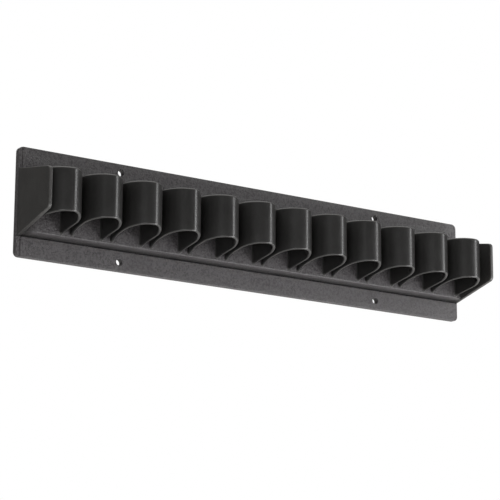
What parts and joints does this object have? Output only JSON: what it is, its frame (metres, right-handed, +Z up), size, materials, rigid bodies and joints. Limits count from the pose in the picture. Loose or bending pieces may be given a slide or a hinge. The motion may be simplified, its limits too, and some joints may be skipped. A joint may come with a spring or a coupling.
{
  "type": "wall rack for riding whips",
  "caption": "Wall-mounted plastic rack with a row of hollow, springy rounded fingers; riding whips are pushed into the narrow slots between them and hang by their handles.",
  "frame": {"origin": "centre of the wall face, the plate's flat back, at half its length and half its height", "axes": "+X along the rack to the right for somebody facing it, +Y into the wall, +Z up"},
  "size_m": [0.5, 0.0665, 0.1],
  "materials": {
    "grained_plastic": "fine grain",
    "black_plastic": "satin"
  },
  "bodies": {
    "rack": {"back_plate": "grained_plastic", "raised_panel": "grained_plastic", "left_cheek": "black_plastic", "right_cheek": "black_plastic", "finger_01": "black_plastic"},
    "finger_02_body": {"finger_02": "black_plastic"},
    "finger_03_body": {"finger_03": "black_plastic"},
    "finger_04_body": {"finger_04": "black_plastic"},
    "finger_05_body": {"finger_05": "black_plastic"},
    "finger_06_body": {"finger_06": "black_plastic"},
    "finger_07_body": {"finger_07": "black_plastic"},
    "finger_08_body": {"finger_08": "black_plastic"},
    "finger_09_body": {"finger_09": "black_plastic"},
    "finger_10_body": {"finger_10": "black_plastic"},
    "finger_11_body": {"finger_11": "black_plastic"},
    "finger_12_body": {"finger_12": "black_plastic"}
  },
  "joints": [
    {"name": "finger_02_sway", "type": "slide", "parent": "rack", "child": "finger_02_body", "axis": [1, 0, 0], "range_m": [-0.0037, 0.0037], "stiffness_N_per_m": 800},
    {"name": "finger_03_sway", "type": "slide", "parent": "rack", "child": "finger_03_body", "axis": [1, 0, 0], "range_m": [-0.0037, 0.0037], "stiffness_N_per_m": 800},
    {"name": "finger_04_sway", "type": "slide", "parent": "rack", "child": "finger_04_body", "axis": [1, 0, 0], "range_m": [-0.0037, 0.0037], "stiffness_N_per_m": 800},
    {"name": "finger_05_sway", "type": "slide", "parent": "rack", "child": "finger_05_body", "axis": [1, 0, 0], "range_m": [-0.0037, 0.0037], "stiffness_N_per_m": 800},
    {"name": "finger_06_sway", "type": "slide", "parent": "rack", "child": "finger_06_body", "axis": [1, 0, 0], "range_m": [-0.0037, 0.0037], "stiffness_N_per_m": 800},
    {"name": "finger_07_sway", "type": "slide", "parent": "rack", "child": "finger_07_body", "axis": [1, 0, 0], "range_m": [-0.0037, 0.0037], "stiffness_N_per_m": 800},
    {"name": "finger_08_sway", "type": "slide", "parent": "rack", "child": "finger_08_body", "axis": [1, 0, 0], "range_m": [-0.0037, 0.0037], "stiffness_N_per_m": 800},
    {"name": "finger_09_sway", "type": "slide", "parent": "rack", "child": "finger_09_body", "axis": [1, 0, 0], "range_m": [-0.0037, 0.0037], "stiffness_N_per_m": 800},
    {"name": "finger_10_sway", "type": "slide", "parent": "rack", "child": "finger_10_body", "axis": [1, 0, 0], "range_m": [-0.0037, 0.0037], "stiffness_N_per_m": 800},
    {"name": "finger_11_sway", "type": "slide", "parent": "rack", "child": "finger_11_body", "axis": [1, 0, 0], "range_m": [-0.0037, 0.0037], "stiffness_N_per_m": 800},
    {"name": "finger_12_sway", "type": "slide", "parent": "rack", "child": "finger_12_body", "axis": [1, 0, 0], "range_m": [-0.0037, 0.0037], "stiffness_N_per_m": 800}
  ]
}
